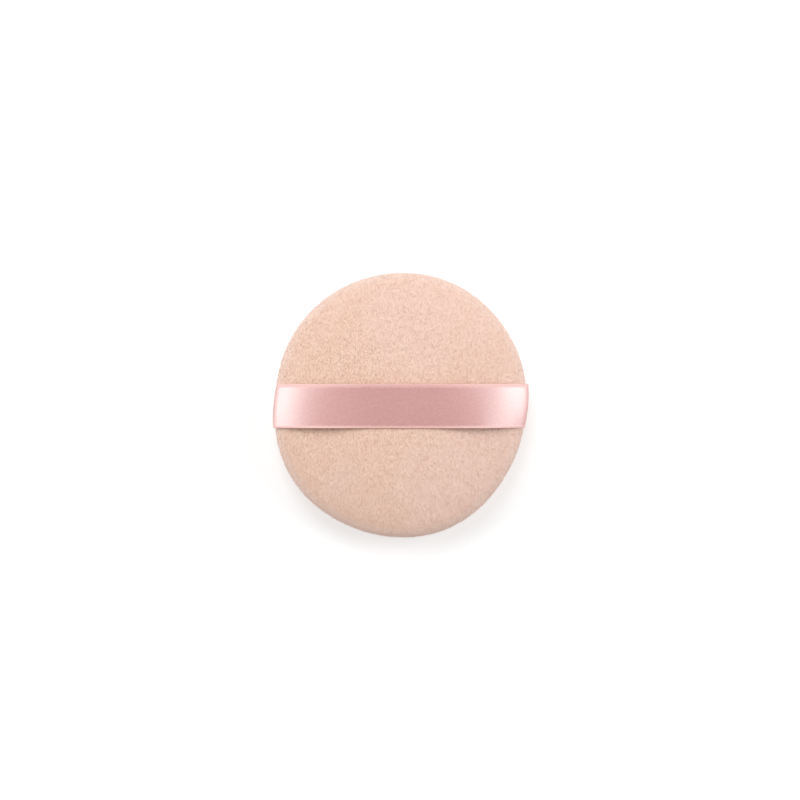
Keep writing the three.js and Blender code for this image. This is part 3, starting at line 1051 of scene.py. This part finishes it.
class PUFF_OT_add_covers(bpy.types.Operator):
    """Add the two velour covers, swollen between their stitches, with their brushed pile"""

    bl_idname = "powder_puff.add_covers"
    bl_label = "Velour covers"

    def execute(self, context):
        scene = context.scene
        pad, pile, stitch = scene.puff_pad, scene.puff_pile, scene.puff_stitch
        velour = velour_material(scene.puff_colours, pile)
        tips = pile_material(scene.puff_colours)
        fibre = make_fibre(pile)
        for name, node, side, seed in (
            ("front", "front_cover", UPPER, 11),
            ("back", "back_cover", LOWER, 23),
        ):
            cover = cover_sheet(name + "_velour", pad, pile, side)
            plump(cover, pad, pile, stitch, scene.puff_swelling, side)
            pick(cover)
            bpy.ops.object.mode_set(mode="EDIT")
            bpy.ops.mesh.select_all(action="SELECT")
            bpy.ops.mesh.subdivide(number_cuts=1, smoothness=1.0)
            bpy.ops.object.mode_set(mode="OBJECT")
            mark_pile(cover, pad, pile, scene.puff_ribbon, side)
            add_relief(cover, pile)
            nap = add_pile(name + "_pile", cover, fibre, pile, seed)
            close_with_lining(cover, pad, side)
            pick(cover)
            bpy.ops.object.shade_smooth()
            finish_piece(cover, velour, "velour", node)
            finish_piece(nap, tips, "velour")
        bpy.data.objects.remove(fibre)
        return {"FINISHED"}


class PUFF_OT_add_foam(bpy.types.Operator):
    """Add the foam disc that fills the covers"""

    bl_idname = "powder_puff.add_foam"
    bl_label = "Foam disc"

    def execute(self, context):
        scene = context.scene
        foam = make_foam(scene.puff_pad, scene.puff_stitch)
        bpy.ops.object.shade_smooth()
        finish_piece(foam, foam_material(scene.puff_colours), "foam", "foam_core")
        return {"FINISHED"}


class PUFF_OT_add_ribbon(bpy.types.Operator):
    """Add the satin ribbon for the fingers"""

    bl_idname = "powder_puff.add_ribbon"
    bl_label = "Finger ribbon"

    def execute(self, context):
        scene = context.scene
        ribbon = scene.puff_ribbon
        piece = make_ribbon(scene.puff_pad, ribbon)
        finish_piece(piece, satin_material(scene.puff_colours, ribbon), "satin_ribbon", "finger_ribbon")
        return {"FINISHED"}


class PUFF_OT_add_threads(bpy.types.Operator):
    """Add the two threads of the machine seam and the thread that closes the gap"""

    bl_idname = "powder_puff.add_threads"
    bl_label = "Sewing threads"

    def execute(self, context):
        scene = context.scene
        stitch = scene.puff_stitch
        finish = thread_material(scene.puff_colours)
        nodes = ("rim_needle_thread", "rim_bobbin_thread", "closing_thread")
        for node, points in zip(nodes, thread_points(scene.puff_pad, stitch)):
            name = node.replace("_thread", "_stitches")
            finish_piece(make_thread(name, points, stitch), finish, "sewing_thread", node)
        return {"FINISHED"}


def add_soft_light(name, place, width, height, power):
    """A flat soft light that faces the puff"""
    lamp = bpy.data.lights.new(name, "AREA")
    lamp.shape = "RECTANGLE"
    lamp.size = width
    lamp.size_y = height
    lamp.energy = power
    light = bpy.data.objects.new(name, lamp)
    light.location = place
    light.rotation_euler = (-Vector(place)).to_track_quat("-Z", "Y").to_euler()
    light.visible_camera = False
    bpy.context.scene.collection.objects.link(light)
    return light


class PUFF_OT_add_stage(bpy.types.Operator):
    """Add the white table, the soft lights and the camera straight above"""

    bl_idname = "powder_puff.add_stage"
    bl_label = "Stage"

    def execute(self, context):
        scene = context.scene
        stage = scene.puff_stage
        clear_selection()
        bpy.ops.mesh.primitive_plane_add(size=6.0, location=(0, 0, 0))
        table = bpy.context.object
        table.name = table.data.name = "table"
        table.data.materials.append(table_material(stage))
        world = bpy.data.worlds.new("Studio")
        world.use_nodes = True
        air = world.node_tree.nodes["Background"].inputs
        air["Color"].default_value = (1, 1, 1, 1)
        air["Strength"].default_value = stage.room_light
        scene.world = world
        for name, (place, width, height) in SOFT_LIGHTS.items():
            power = getattr(stage, name.lower() + "_power")
            add_soft_light(name + " light", place, width, height, power)
        lens = bpy.data.cameras.new("Camera")
        lens.sensor_width = 36.0
        seam = scene.puff_pad.seam_height
        lens.lens = lens.sensor_width * (stage.camera_height - seam) / stage.frame_width
        lens.clip_start, lens.clip_end = 0.01, 20.0
        camera = bpy.data.objects.new("Camera", lens)
        camera.location = (stage.view_x, stage.view_y, stage.camera_height)
        scene.collection.objects.link(camera)
        scene.camera = camera
        scene.view_settings.view_transform = "Standard"
        return {"FINISHED"}


class PUFF_PT_sidebar(bpy.types.Panel):
    """The puff's pieces and sizes"""

    bl_idname = "PUFF_PT_sidebar"
    bl_label = "Powder puff"
    bl_space_type = "VIEW_3D"
    bl_region_type = "UI"
    bl_category = "Powder puff"

    def draw(self, context):
        for operator in OPERATORS:
            self.layout.operator(operator.bl_idname)
        for group in GROUPS:
            box = self.layout.box()
            sizes = getattr(context.scene, group)
            for name in sizes.__annotations__:
                box.prop(sizes, name)


GROUPS = {
    "puff_pad": PuffPad,
    "puff_pile": PuffPile,
    "puff_ribbon": PuffRibbon,
    "puff_stitch": PuffStitch,
    "puff_swelling": PuffSwelling,
    "puff_colours": PuffColours,
    "puff_stage": PuffStage,
}
OPERATORS = (
    PUFF_OT_add_covers,
    PUFF_OT_add_foam,
    PUFF_OT_add_ribbon,
    PUFF_OT_add_threads,
    PUFF_OT_add_stage,
)


def register():
    for cls in (*GROUPS.values(), *OPERATORS, PUFF_PT_sidebar):
        bpy.utils.register_class(cls)
    for name, group in GROUPS.items():
        setattr(bpy.types.Scene, name, bpy.props.PointerProperty(type=group))


def unregister():
    for name in GROUPS:
        delattr(bpy.types.Scene, name)
    for cls in (PUFF_PT_sidebar, *OPERATORS, *GROUPS.values()):
        bpy.utils.unregister_class(cls)


def main():
    register()
    bpy.ops.powder_puff.add_covers()
    bpy.ops.powder_puff.add_foam()
    bpy.ops.powder_puff.add_ribbon()
    bpy.ops.powder_puff.add_threads()
    bpy.ops.powder_puff.add_stage()


if __name__ == "__main__":
    main()
